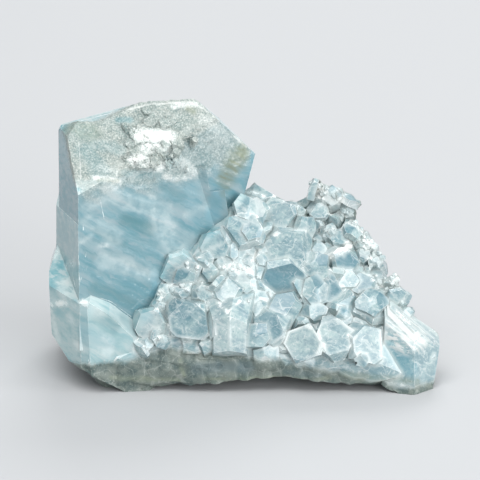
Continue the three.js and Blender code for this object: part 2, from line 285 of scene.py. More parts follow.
def longest_at(places):
    """How long an edge may be at each place."""
    longest = np.full(len(places), LONGEST)
    longest[places[:, 2] > ROOF_FROM] = LONGEST_ROOF
    longest[(places[:, 1] > BEHIND_FROM) | (places[:, 2] < UNDERSIDE)] = LONGEST_BEHIND
    longest[np.linalg.norm(places - STRIATED, axis=1) < STRIATED_REACH] = LONGEST_STRIATED
    return longest


def refined(surface, longest=longest_at):
    """Points, small triangles and face numbers of a bmesh whose long edges are halved."""
    points = np.array([v.co for v in surface.verts])
    triangles = np.array([[v.index for v in f.verts] for f in surface.faces])
    owners = faces_of(surface)
    for _ in range(PASSES):
        points, triangles, owners = halved(points, triangles, owners, longest)
    return points, triangles, owners


def mesh_of(name, points, triangles):
    made = bpy.data.meshes.new(name)
    made.from_pydata(points.tolist(), [], triangles.tolist())
    return made


print("most places have edges under", LONGEST / MM, "mm")

# %% [markdown]
# Three kinds of surface meet on the specimen. Crystal faces are nearly flat, the big crystal's roof is etched
# and frosted, and the crust is a broken rind. The druse is the slope of smaller crystals beside the big one.
# The kinds could be separate materials, but then they would meet in hard lines. Here each vertex gets a share
# of roof, rind and druse between 0 and 1, so they run into each other as on the real stone.

# %% Zones
ROOF_NORMAL = np.array((0.0502, -0.7176, 0.6947))
ROOF_REACH = 48.83
CRUST_TOP = [
    (96, 364), (130, 358), (165, 350), (190, 350), (215, 353), (250, 354), (280, 358), (310, 364), (345, 374),
    (400, 384),
]
BORDER = [(132, 345), (150, 315), (159, 298), (166, 270), (200, 248), (227, 222), (245, 192)]

crust_top = sorted((seen_at(*pixel).x / MM, seen_at(*pixel).z / MM) for pixel in CRUST_TOP)
border = sorted((seen_at(*pixel).z / MM, seen_at(*pixel).x / MM) for pixel in BORDER)
print("crust top:", [round(height, 1) for _, height in crust_top], "mm")


def smooth(value, low, high):
    """0 below low, 1 above high and an even curve between."""
    share = np.clip((value - low) / (high - low), 0, 1)
    return share * share * (3 - 2 * share)


def noise_at(spots, scale, octaves=1):
    """Noise at each spot, about -1 to 1, with lumps of 1 m / scale."""
    if octaves == 1:
        return np.array([noise.noise(p) for p in map(Vector, spots * scale)])
    return np.array([noise.fractal(p, 0.85, 2.1, octaves) for p in map(Vector, spots * scale)])


def zones(spots, normals):
    """The shares of roof, rind and druse at each spot. Heights and distances are in millimetres."""
    x, y, z = (spots / MM).T
    # The roof is a plane, and its frost runs over the edge onto the front and ends in a ragged line.
    roof = 1 - smooth(abs(spots @ ROOF_NORMAL / MM - ROOF_REACH), 1.0, 4.0)
    frost = smooth(z + 2.2 * noise_at(spots, 220, 3) - 3.5 * smooth(x, -16, -3), 50.5, 55)
    frost = frost * smooth(-normals[:, 1], 0.2, 0.5) * smooth(normals[:, 0], -0.7, -0.3) * (x < 2)
    roof = np.maximum(roof * smooth(z, 54, 57), 0.75 * frost)
    # The rind lies under the crust's upper edge, on the back and on the right end.
    above_crust = z - np.interp(x, *zip(*crust_top)) + 1.2 * noise_at(spots, 140) + 0.6 * noise_at(spots, 500)
    low = 1 - smooth(above_crust, -1.2, 0.6)
    behind = smooth(normals[:, 1], 0.1, 0.45) * (1 - smooth(z, 46, 60))
    right_end = smooth(normals[:, 0], 0.6, 0.85) * smooth(y, 0, 3) * (x > 8)
    behind = np.maximum(behind, right_end)
    # The druse begins at the big crystal's foot.
    druse = smooth(x - np.interp(z, *zip(*border)), -0.8, 0.8) * (z < 52)
    return roof, np.maximum(low, behind), druse


# %% [markdown]
# Veils, chips, stains, patches of small crystals, painted highlights and painted shade are soft marks. Each
# is a line or a spot between two pixels of the photograph with a half width in pixels and a strength. A spot
# on the stone takes the strongest mark that reaches it, and noise makes the marks' edges ragged.

# %% Soft marks
def marked(spots, marks):
    """The strongest mark at each spot. A mark is two pixels, a half width in pixels and a strength."""
    ragged = noise_at(spots, 250, 2)
    most = np.zeros(len(spots))
    for x1, y1, x2, y2, wide, strength in marks:
        start = np.array(seen_at(x1, y1))
        run = np.array(seen_at(x2, y2)) - start
        share = np.clip((spots - start) @ run / max(run @ run, MM ** 2 / 100), 0, 1)
        away = np.linalg.norm(spots - start - share[:, None] * run, axis=1)
        edge = wide * PIXEL * (1 + 0.35 * ragged)
        most = np.maximum(most, strength * (1 - smooth(away / edge, 0.25, 1)))
    return most


def keep(mesh, name, values, domain="POINT"):
    """Stores numbers on the mesh under a name that materials and Geometry Nodes can read."""
    mesh.attributes.new(name, "FLOAT", domain).data.foreach_set("value", values)


print("a mark 10 pixels wide is", round(10 * PIXEL / MM, 1), "mm wide on the stone")

# %% [markdown]
# Crystals smaller than the solid's own grow on it: low ones between the druse's large ones, and grains in the
# folds, on the roof's white patch and along the druse's rim. They follow the surface, so Geometry Nodes
# scatter them. Points are spread where an attribute called room allows it, and each point gets one of six
# crystals, turned and scaled by chance. The six have the flat faces of the large crystals: a cube is cut by
# one plane for each face, and every cut is closed again.

# %% Six crystals
LONG = Vector((0.789, 0.615, 0))
CHISEL = Vector((0.615, 0, 0.788))
FLANK = Vector((0, 0.773, 0.635))
TEMPLATES = 6


def small_crystal(name, dice):
    """A crystal of half width 1 mm with its root at the origin and its tip up."""
    body = bmesh.new()
    bmesh.ops.create_cube(body, size=4 * MM)
    thick = dice.uniform(0.65, 1)
    out = dice.uniform(0.7, 1.6)
    cuts = [(Vector((0, 0, -1)), 0.9)]
    for side in (-1, 1):
        blunt = dice.uniform(0.05, 0.4)
        cuts.append((Vector((0, side, 0)), thick))
        cuts.append((Vector((side * CHISEL.x, 0, CHISEL.z)), CHISEL.x * blunt + CHISEL.z * out))
        cuts.append((Vector((0, side * FLANK.y, FLANK.z)), FLANK.y * thick * blunt + FLANK.z * out))
        for across in (-1, 1):
            cuts.append((Vector((side * LONG.x, across * LONG.y, 0)), dice.uniform(0.7, 0.85)))
    cuts.append((Vector((0, 0, 1)), out))
    for normal, reach in cuts:
        everything = body.verts[:] + body.edges[:] + body.faces[:]
        bmesh.ops.bisect_plane(
            body, geom=everything, plane_co=normal * reach * MM, plane_no=normal, clear_outer=True
        )
        bmesh.ops.contextual_create(body, geom=[e for e in body.edges if e.is_boundary])
    bmesh.ops.recalc_face_normals(body, faces=body.faces)
    mesh = bpy.data.meshes.new(name)
    body.to_mesh(mesh)
    body.free()
    return bpy.data.objects.new(name, mesh)


dice = random.Random(3)  # a fixed seed, so that every run makes the same six
templates = bpy.data.collections.new("small_crystals")
for i in range(TEMPLATES):
    templates.objects.link(small_crystal(f"small_crystal_{i}", dice))

# %% [markdown]
# One tree of nodes grows both sizes. A short function adds each node and feeds its inputs with values or with
# other nodes' outputs. The tree ends by joining the crystals with the stone in one closed surface, so no face
# is left inside. Mesh Boolean takes each instance as a solid of its own, which is why overlapping crystals
# join cleanly.

# %% The scatter as a node tree
# The name of each input, its kind and its first value.
TREE_INPUTS = [
    ("Geometry", "Geometry", None), ("Stone", "Object", None), ("Spacing", "Float", 0.9 * MM),
    ("Most per square metre", "Float", 9e5), ("Smallest", "Float", 0.35), ("Largest", "Float", 1.0),
    ("Height", "Float", 1.0), ("Tilt", "Float", 0.6), ("Seed", "Int", 11), ("Material", "Material", None),
]


def feed(tree, socket, value):
    """Links an output to the socket, or sets the socket to a value."""
    if isinstance(value, bpy.types.NodeSocket):
        tree.links.new(value, socket)
    elif isinstance(value, tuple) and len(value) == 3 and socket.type == "RGBA":
        socket.default_value = (*value, 1)
    else:
        socket.default_value = value


def add_node(tree, kind, inputs, settings):
    """Adds a node with its settings and feeds its inputs, which have names or numbers."""
    made = tree.nodes.new(kind)
    for key, value in settings.items():
        setattr(made, key, value)
    for key, value in (inputs or {}).items():
        feed(tree, made.inputs[key], value)
    return made


def scatter_tree():
    """Builds the Geometry Nodes tree and returns it with its inputs' identifiers."""
    tree = bpy.data.node_groups.new("grow_crystals", "GeometryNodeTree")
    ids = {}
    for name, kind, value in TREE_INPUTS:
        socket = tree.interface.new_socket(name, in_out="INPUT", socket_type="NodeSocket" + kind)
        if value is not None:
            socket.default_value = value
        ids[name] = socket.identifier
    tree.interface.new_socket("Geometry", in_out="OUTPUT", socket_type="NodeSocketGeometry")

    def node(kind, inputs=None, **settings):
        return add_node(tree, kind, inputs, settings)

    given = node("NodeGroupInput").outputs
    seed = given["Seed"]
    # Points on the stone, closest together where there is most room.
    room = node("GeometryNodeInputNamedAttribute", {"Name": "room"}, data_type="FLOAT")
    where = {
        "Mesh": given["Geometry"],
        "Distance Min": given["Spacing"],
        "Density Max": given["Most per square metre"],
        "Density Factor": room.outputs["Attribute"],
        "Seed": seed,
    }
    points = node("GeometryNodeDistributePointsOnFaces", where, distribute_method="POISSON").outputs
    # Each crystal leans by chance and is turned any way round its own axis.
    tilt = given["Tilt"]
    minus = node("ShaderNodeMath", {0: tilt, 1: -1}, operation="MULTIPLY").outputs[0]
    least = node("ShaderNodeCombineXYZ", {"X": minus, "Y": minus}).outputs[0]
    most = node("ShaderNodeCombineXYZ", {"X": tilt, "Y": tilt, "Z": 2 * math.pi}).outputs[0]
    leaning = node("FunctionNodeRandomValue", {0: least, 1: most, "Seed": seed}, data_type="FLOAT_VECTOR")
    turn = node("FunctionNodeEulerToRotation", {0: leaning.outputs[0]}).outputs[0]
    turns = {"Rotation": points["Rotation"], "Rotate By": turn}
    rotate = node("FunctionNodeRotateRotation", turns, rotation_space="LOCAL").outputs[0]
    # Its width is drawn by chance, and its height goes with the width.
    widths = {2: given["Smallest"], 3: given["Largest"], "Seed": seed}
    wide = node("FunctionNodeRandomValue", widths, data_type="FLOAT").outputs[1]
    tall = node("ShaderNodeMath", {0: wide, 1: given["Height"]}, operation="MULTIPLY").outputs[0]
    shape = node("ShaderNodeCombineXYZ", {"X": wide, "Y": wide, "Z": tall}).outputs[0]
    # One of the six crystals goes on each point.
    six = {"Collection": templates, "Separate Children": True, "Reset Children": True}
    placed = node("GeometryNodeInstanceOnPoints", {
        "Points": points["Points"],
        "Instance": node("GeometryNodeCollectionInfo", six).outputs[0],
        "Pick Instance": True,
        "Rotation": rotate,
        "Scale": shape,
    })
    # Crystals and stone become one closed surface, which is made real and gets the material.
    body = node("GeometryNodeObjectInfo", {"Object": given["Stone"]})
    join = node("GeometryNodeMeshBoolean", operation="UNION", solver="MANIFOLD")
    feed(tree, join.inputs["Mesh 2"], placed.outputs[0])
    feed(tree, join.inputs["Mesh 2"], body.outputs["Geometry"])
    real = node("GeometryNodeRealizeInstances", {0: join.outputs["Mesh"]}).outputs[0]
    coated = node("GeometryNodeSetMaterial", {"Geometry": real, "Material": given["Material"]})
    node("NodeGroupOutput", {0: coated.outputs[0]})
    return tree, ids


grower, ids = scatter_tree()
print("grow_crystals:", len(grower.nodes), "nodes")

# %% [markdown]
# To grow crystals, the ground is cut into small triangles that know how much room they have, the tree
# scatters and joins, and its result becomes a plain mesh. The modifier's inputs are set by their identifiers
# before the ground is first evaluated, because a name may belong to more than one input. The helper objects
# go at once, so that only the joined surface stays.

# %% Growing on the stone
celestite_finish = bpy.data.materials.new("celestite")


def grow(name, surface, room_at, **sizes):
    """Grows crystals on a bmesh where room_at allows it, and returns the joined mesh as a bmesh."""
    points, triangles, _ = refined(surface)
    ground_mesh = mesh_of(name + "_ground", points, triangles)
    spots = np.array([v.co for v in ground_mesh.vertices])
    normals = np.array([v.normal for v in ground_mesh.vertices])
    keep(ground_mesh, "room", room_at(spots, normals))
    ground = bpy.data.objects.new(name + "_ground", ground_mesh)
    body_mesh = bpy.data.meshes.new(name + "_body")
    surface.to_mesh(body_mesh)
    body = bpy.data.objects.new(name + "_body", body_mesh)
    for o in (ground, body):
        bpy.context.scene.collection.objects.link(o)
    modifier = ground.modifiers.new("grow", "NODES")
    modifier.node_group = grower
    modifier[ids["Stone"]] = body
    modifier[ids["Material"]] = celestite_finish
    for key, value in sizes.items():
        modifier[ids[key.replace("_", " ").capitalize()]] = value
    view = bpy.context.evaluated_depsgraph_get()
    grown = bpy.data.meshes.new_from_object(ground.evaluated_get(view), depsgraph=view)
    bpy.data.objects.remove(ground)
    bpy.data.objects.remove(body)
    made = merged(grown)
    print(name + ":", len(made.faces), "triangles, open edges:", sum(not e.is_manifold for e in made.edges))
    return made


# %% [markdown]
# Low crystals, 4 to 9 mm across, fill the slope between the large ones. On the real stone they are the ones
# that were grown over, so only their blunt tips show. They are wide, a third as tall and lean a little. The
# crystals that the photograph shows whole keep their faces bare.

# %% Low crystals
BARE = [
    (229, 298, 229, 342, 16, 1.0), (300, 338, 340, 335, 26, 1.0), (404, 330, 404, 345, 24, 1.0),
    (280, 282, 281, 283, 18, 1.0), (290, 232, 291, 233, 16, 1.0), (186, 318, 187, 319, 20, 1.0),
    (333, 253, 346, 248, 10, 1.0), (366, 336, 367, 337, 16, 1.0), (396, 360, 424, 362, 24, 1.0),
    (422, 338, 430, 352, 24, 1.0),
]


def room_between(spots, normals):
    """Room for low crystals: the druse's front, but not on the crystals that the photograph shows whole."""
    _, rind, druse = zones(spots, normals)
    front = (normals[:, 1] < 0.1) * (marked(spots, BARE) < 0.3)
    return 0.8 * druse * (1 - rind) * front * smooth(spots[:, 2] / MM, 5, 8)


full = grow(
    "middle_crystals", stone, room_between, spacing=5.6 * MM, most_per_square_metre=5e4,
    smallest=2.0, largest=4.6, height=0.3, tilt=0.35, seed=4,
)

# %% [markdown]
# Grains of 1 to 2 mm come last, on the stone and on the low crystals alike. The real ones are the youngest
# crystals, which glitter in the folds and in the roof's white patch. The same tree grows them, with other
# sizes and another seed.

# %% Grains
ROOM = [
    (136, 136, 168, 160, 15, 1.0), (134, 158, 160, 162, 12, 1.0), (178, 160, 192, 172, 8, 0.5),
    (166, 260, 204, 270, 7, 0.5), (222, 265, 252, 276, 8, 0.7), (168, 290, 204, 286, 6, 0.6),
    (318, 190, 336, 196, 12, 0.6), (346, 212, 366, 240, 8, 0.9), (366, 240, 404, 298, 9, 0.9),
    (300, 214, 330, 232, 8, 0.4), (160, 296, 160, 336, 5, 0.5), (98, 247, 108, 245, 3, 0.4),
    (370, 270, 392, 300, 9, 0.5), (250, 300, 262, 318, 5, 0.5), (270, 296, 300, 300, 4, 0.3),
]


def room_for_grains(spots, normals):
    return marked(spots, ROOM) * (normals[:, 1] < 0.3)


full = grow("grains", full, room_for_grains, spacing=0.8 * MM, smallest=0.35, largest=0.95, seed=11)

# %% [markdown]
# The grown surface is cut into small triangles once more, for the relief. The back gets finer ones than
# before, because its rind is rough as well. The zones are worked out again for the new vertices. One more
# share, foot, marks where the big crystal is milky: low on its front and on its left side.

# %% The whole surface in small triangles
LONGEST_BACK = 1.4 * MM


def longest_back_too(places):
    """The same, but finer at the back, where the rind has relief."""
    longest = longest_at(places)
    longest[(places[:, 1] > BEHIND_FROM) & (places[:, 2] > UNDERSIDE)] = LONGEST_BACK
    return longest


full_skin = BVHTree.FromBMesh(full)
full_owners = faces_of(full)
points, triangles, owners = refined(full, longest_back_too)
whole = mesh_of("celestite_whole", points, triangles)
spots = np.array([v.co for v in whole.vertices])
normals = np.array([v.normal for v in whole.vertices])
x, y, z = (spots / MM).T
roof, rind, druse = zones(spots, normals)
left_foot = smooth(-normals[:, 0], 0.5, 0.65) * (1 - smooth(z, 40, 48))
foot = (1 - druse) * np.maximum(1 - smooth(z, 18, 30), left_foot)
print("small triangles:", len(triangles), "on", owners.max() + 1, "crystal faces")

# %% [markdown]
# Veils, steps and ribs run in fixed directions. Two pixels on one line of the photograph give two points on
# the stone and so the line's real direction. A cross product with the way that the face looks gives the
# direction across it.

# %% Directions on the crystals
veil_run = seen_at(180, 235) - seen_at(95, 190)
veil_run.normalize()
front_out = Vector((0.4037, -0.9067, 0.1219))
veil_across = veil_run.cross(front_out).normalized()
striated_out = Vector((0, -0.34, 0.94))
rib_run = seen_at(424, 340) - seen_at(392, 318)
rib_across = np.array(rib_run.cross(striated_out).normalized())
print("the veils run along", [round(c, 2) for c in veil_run])

# %% [markdown]
# The relief moves each vertex along its normal. Noise of two sizes makes the roof grainy and the rind lumpy,
# and where noise passes zero its absolute value has a sharp crest, as broken stone has at the back. Low steps
# cross the big crystal's front, and fine ribs run over the striated crystal. The flat faces keep only a
# trace. Every point stays inside the solid's own box, and the underside stays flat.

# %% Relief
# Heights and lengths in millimetres.
ROOF_GRAIN = 0.26
RIND_LUMPS = 0.55
BACK_CRESTS = 1.8
FACE_WAVES = 0.03
STEP_HEIGHT = 0.07
STEP_LENGTH = 3.4
RIB_HEIGHT = 0.16
RIB_LENGTH = 1.15
UNDERSIDE_HEIGHT = 0.02

across = spots @ np.array(veil_across) / MM
along = spots @ np.array(veil_run) / MM
front = (1 - druse) * (1 - roof) * (1 - rind) * smooth(-normals[:, 1], 0.5, 0.8)
phase = (across + 2.4 * noise_at(spots, 55) + 0.8 * noise_at(spots, 160) + 0.04 * along) / STEP_LENGTH
steps = smooth(phase % 1, 0.0, 0.25) - phase % 1
ribbed = 1 - smooth(np.linalg.norm(spots - STRIATED, axis=1) / MM, 5, 7.5)
ribs = np.abs((spots @ rib_across / MM / RIB_LENGTH + 0.3 * noise_at(spots, 400)) % 1 - 0.5) * 2 - 0.5

lift = ROOF_GRAIN * roof * noise_at(spots, 900, 3)
lift += RIND_LUMPS * rind * noise_at(spots, 330, 3)
lift += BACK_CRESTS * rind * smooth(y, 4, 12) * (0.25 - np.abs(noise_at(spots, 110, 3)))
lift += FACE_WAVES * (1 - rind) * noise_at(spots, 200)
lift += STEP_HEIGHT * front * steps
lift += RIB_HEIGHT * ribbed * ribs
lift[z < UNDERSIDE_HEIGHT] = 0
moved = np.clip(spots + normals * lift[:, None] * MM, np.array(cad_box[0]), np.array(cad_box[1]))
base = mesh_of("celestite", moved, triangles)
celestite = bpy.data.objects.new("celestite", base)
bpy.context.scene.collection.objects.link(celestite)
print("relief from", round(lift.min(), 2), "to", round(lift.max(), 2), "mm")

# %% [markdown]
# Thin white lines follow the crystals' edges: partly bruises, and partly painted highlight where light gathers
# on the edges. Each vertex keeps its distance to the nearest sharp edge, and the material draws the lines from
# that.

# %% Distance to the sharp edges
SHARP = math.radians(24)
EDGE_STEP = 0.3 * MM


def edge_points(mesh, sign):
    """Points along the sharp edges that stand out (sign 1) or fold in (sign -1)."""
    points = []
    for e in mesh.edges:
        if not e.is_manifold:
            continue
        if sign * e.calc_face_angle_signed(0) < SHARP:
            continue
        a = e.verts[0].co
        b = e.verts[1].co
        steps = max(1, round((b - a).length / EDGE_STEP))
        points += [a.lerp(b, i / steps) for i in range(steps + 1)]
    return points


def distances(mesh, points):
    """Each vertex's distance in millimetres to the nearest of the points."""
    near = KDTree(len(points))
    for i, p in enumerate(points):
        near.insert(p, i)
    near.balance()
    return np.array([near.find(v.co)[2] / MM for v in mesh.vertices])


surface = bmesh.new()
surface.from_mesh(base)
ridges = edge_points(surface, 1)
folds = edge_points(surface, -1)
surface.free()
to_ridge = distances(base, ridges)
to_fold = distances(base, folds)
keep(base, "to_ridge", to_ridge)
keep(base, "to_fold", to_fold)
print("sharp edges:", len(ridges), "points out,", len(folds), "points in")

# %% [markdown]
# Marks of one kind share an attribute, and the material gives each kind its colour. Pale is frost and bruises,
# and on a few faces painted highlight where a face mirrors the lamp. The painted shade marks darken the stone
# where one looks into its dark depth and where faces lie in shade. Blue is thick clear stone, and in one place
# painted shade over a face that mirrors the front lamp. Stain is a brown green film, and the painted rim light
# is a wide white band of painted light along the edges of a few crystals.

# %% Marks of each kind
# Most pale marks are frost and bruises; those from (218, 303), (228, 312), (275, 234), (330, 256) and (346,
# 249) are painted highlights on faces that mirror the lamp.
PALE_AND_HIGHLIGHT_MARKS = [
    (138, 136, 166, 137, 11, 1.0), (134, 160, 160, 165, 9, 1.0), (146, 148, 172, 150, 10, 0.7),
    (100, 168, 116, 172, 6, 0.2), (180, 158, 194, 172, 7, 0.35), (205, 120, 225, 136, 9, 0.25),
    (98, 247, 108, 245, 3, 0.4), (67, 266, 75, 263, 7, 0.5), (52, 304, 86, 303, 6, 0.8),
    (145, 212, 154, 210, 4, 0.45), (85, 208, 108, 198, 9, 0.25), (112, 192, 162, 216, 15, 0.28),
    (160, 218, 176, 252, 22, 0.33), (104, 262, 150, 274, 14, 0.28), (128, 186, 170, 204, 6, 0.18),
    (88, 222, 116, 236, 14, 0.25), (150, 196, 156, 199, 3, 0.4), (165, 176, 170, 178, 4, 0.6),
    (174, 180, 196, 177, 3, 0.4), (95, 178, 120, 181, 4, 0.7), (80, 243, 92, 236, 5, 0.25),
    (186, 214, 206, 206, 6, 0.2), (60, 280, 64, 296, 9, 0.3), (70, 318, 112, 340, 8, 0.35),
    (225, 267, 250, 272, 8, 0.75), (168, 286, 200, 281, 6, 0.5), (252, 262, 258, 253, 4, 0.9),
    (319, 191, 336, 200, 13, 1.0), (218, 303, 228, 312, 2.5, 1.0), (228, 312, 240, 301, 2.5, 1.0),
    (247, 192, 262, 196, 6, 0.7), (312, 206, 330, 214, 8, 0.5), (350, 214, 362, 232, 7, 0.5),
    (370, 240, 400, 292, 7, 0.5), (384, 322, 424, 344, 9, 0.4), (160, 300, 172, 335, 4, 0.5),
    (176, 343, 192, 340, 3, 0.6), (275, 234, 306, 231, 4, 1.0), (174, 106, 196, 104, 5, 0.5),
    (330, 256, 337, 252, 8, 1.0), (346, 249, 350, 244, 7, 1.0), (345, 380, 420, 388, 7, 0.7),
    (72, 304, 100, 312, 11, 0.4), (76, 346, 108, 352, 9, 0.4), (56, 250, 52, 300, 7, 0.5),
    (51, 312, 58, 340, 7, 0.4),
]
# Painted shade: the stone darkened where one looks into its dark depth and where faces lie in shade.
PAINTED_SHADE_MARKS = [
    (66, 130, 88, 134, 13, 0.3), (86, 150, 100, 172, 14, 0.3), (126, 220, 150, 229, 11, 0.9),
    (190, 198, 206, 230, 16, 0.1), (210, 198, 228, 206, 10, 0.4), (392, 352, 408, 366, 10, 0.35),
    (100, 316, 114, 326, 13, 0.5), (124, 320, 136, 334, 12, 0.5), (95, 288, 132, 303, 10, 0.65),
    (86, 254, 150, 286, 7, 0.35), (96, 232, 124, 244, 7, 0.35), (164, 186, 182, 196, 9, 0.4),
    (118, 120, 130, 120, 5, 0.6), (238, 266, 262, 279, 3, 0.9), (226, 247, 232, 257, 5, 0.5),
    (198, 259, 206, 266, 5, 0.5), (125, 173, 160, 176, 6, 0.35), (192, 345, 212, 350, 8, 0.5),
    (95, 145, 120, 150, 10, 0.3), (172, 270, 192, 278, 9, 0.4),
]
BLUE = [
    (154, 276, 154, 290, 8, 1.0), (190, 190, 208, 236, 17, 0.5), (100, 262, 150, 282, 8, 0.6),
    (108, 298, 150, 318, 8, 0.4), (240, 147, 249, 158, 7, 0.8), (205, 245, 225, 250, 12, 0.4),
    (262, 276, 294, 284, 12, 0.5), (336, 306, 352, 312, 10, 0.5), (388, 350, 410, 368, 12, 1.0),
    (240, 206, 262, 222, 14, 0.3), (195, 368, 250, 367, 9, 0.6), (286, 372, 320, 376, 5, 0.4),
    # The mark from (218, 192) to (212, 214) is painted shade over a face that mirrors the front lamp.
    (218, 192, 212, 214, 12, 1.0), (84, 330, 108, 344, 13, 0.5),
]
STAIN = [
    (242, 152, 226, 180, 14, 0.9), (230, 178, 224, 192, 9, 0.6), (188, 108, 193, 111, 5, 0.7),
    (112, 378, 178, 380, 4, 0.5), (180, 360, 184, 376, 3, 0.5), (205, 379, 330, 378, 3, 0.5),
    (98, 180, 118, 181, 3, 0.5), (345, 374, 418, 382, 6, 0.5), (66, 130, 90, 133, 14, 0.35),
]
# Painted rim light: wide white bands of painted light along the edges of a few crystals.
PAINTED_RIM_LIGHT_MARKS = [
    (290, 338, 318, 342, 26, 1.0), (325, 335, 346, 338, 22, 1.0), (360, 350, 380, 345, 20, 0.6),
    (176, 325, 192, 335, 18, 0.8), (222, 332, 238, 334, 18, 0.7),
]
kinds = {"pale": PALE_AND_HIGHLIGHT_MARKS, "painted_shade": PAINTED_SHADE_MARKS, "blue": BLUE, "stain": STAIN, "painted_rim_light": PAINTED_RIM_LIGHT_MARKS}
for kind, marks in kinds.items():
    keep(base, kind, marked(spots, marks))
    print(len(marks), "marks of the kind", kind)

# %% [markdown]
# A crystal face that mirrors the lamp is much brighter than the one next to it, and a face that looks into
# the dark of the stone is darker. Each face gets a value from -1 to 1: a small one by chance, which is the
# stone's own uneven tone, and a strong one where the photograph shows a bright or a dark face, which is
# painted highlight on a bright face and painted shade on a dark one.

# %% Face tints
LARGE_FACE = 120
PAINTED_HIGHLIGHT_FACES = [
    (333, 253), (348, 246), (256, 257), (405, 328), (395, 322), (415, 337),
]
PAINTED_LIGHT_FACES = [
    (224, 290), (322, 196), (276, 214), (228, 332), (240, 332), (300, 330), (334, 328), (254, 200), (424, 356),
    (304, 352), (366, 336),
]
PAINTED_SHADE_FACES = [
    (217, 205), (225, 195), (212, 212), (66, 160), (66, 200), (364, 284), (378, 316), (244, 232), (344, 232),
    (318, 284), (384, 306), (330, 272), (206, 300), (280, 281), (268, 278), (346, 309), (319, 256), (180, 273),
    (347, 262), (200, 347), (245, 154), (232, 200), (297, 206), (354, 228), (156, 346), (172, 348), (264, 332),
    (282, 306),
]
SHADED_FACES = [(66, 230), (319, 225), (186, 318), (224, 335), (330, 345), (300, 345)]
CHOSEN = ((SHADED_FACES, -0.35), (PAINTED_SHADE_FACES, -0.6), (PAINTED_LIGHT_FACES, 0.2), (PAINTED_HIGHLIGHT_FACES, 1.0))
# The chance values are the stone's own uneven tone.
chance = np.random.default_rng(5)
face_tone_and_painted_light = chance.normal(0, 0.2, owners.max() + 1)
areas = np.bincount(full_owners, [f.calc_area() / MM ** 2 for f in full.faces])
face_tone_and_painted_light[areas > LARGE_FACE] = 0
# Bright and paler faces get painted highlight and painted light, and dark and shaded faces get painted shade,
# in place of their chance value.
for pixels, value in CHOSEN:
    for pixel in pixels:
        face_tone_and_painted_light[full_owners[look_at(*pixel, full_skin)[1]]] = value
keep(base, "face_tone_and_painted_light", face_tone_and_painted_light[owners], "FACE")
keep(base, "roof", roof)
keep(base, "rind", rind)
keep(base, "druse", druse)
keep(base, "foot", foot)
keep(base, "striated", ribbed)
print("tints from", round(face_tone_and_painted_light.min(), 2), "to", round(face_tone_and_painted_light.max(), 2))

# %% [markdown]
# The finish is one material whose nodes form a long recipe. Making each node by hand would hide the recipe,
# so a helper class adds one node for each call and gives its output, which goes straight into the next call.

# %% Node helper
class Finish:
    """A material whose nodes are added one call at a time."""

    def __init__(self, material):
        material.use_nodes = True
        self.tree = material.node_tree

    def node(self, kind, inputs=None, **settings):
        return add_node(self.tree, "ShaderNode" + kind, inputs, settings)

    def attribute(self, name):
        return self.node("Attribute", attribute_name=name).outputs["Fac"]

    def math(self, operation, a, b=0.0, clamp=False):
        return self.node("Math", {0: a, 1: b}, operation=operation, use_clamp=clamp).outputs[0]

    def times(self, a, b):
        return self.math("MULTIPLY", a, b)

    def highest(self, *values):
        most = values[0]
        for value in values[1:]:
            most = self.math("MAXIMUM", most, value)
        return most

    def curve(self, value, low, high, start=0.0, end=1.0):
        """Goes smoothly from start at low to end at high."""
        ends = {"Value": value, "From Min": low, "From Max": high, "To Min": start, "To Max": end}
        return self.node("MapRange", ends, interpolation_type="SMOOTHSTEP").outputs["Result"]

    def mix(self, share, a, b):
        return self.node("Mix", {"Factor": share, "A": a, "B": b}, data_type="RGBA").outputs["Result"]

    def over(self, colour, layers):
        """Lays each layer's colour over the last, as far as the layer's share says."""
        for share, upper in layers:
            colour = self.mix(share, colour, upper)
        return colour


# %% [markdown]
# A second class adds the patterns. Grain is plain noise. Turned measures the place along the stone's own
# directions, so that noise can be drawn out into veils. Wobbled moves the place a little, so that straight
# things become natural. Crack, flakes and loops draw a line, angular cells and closed outlines.

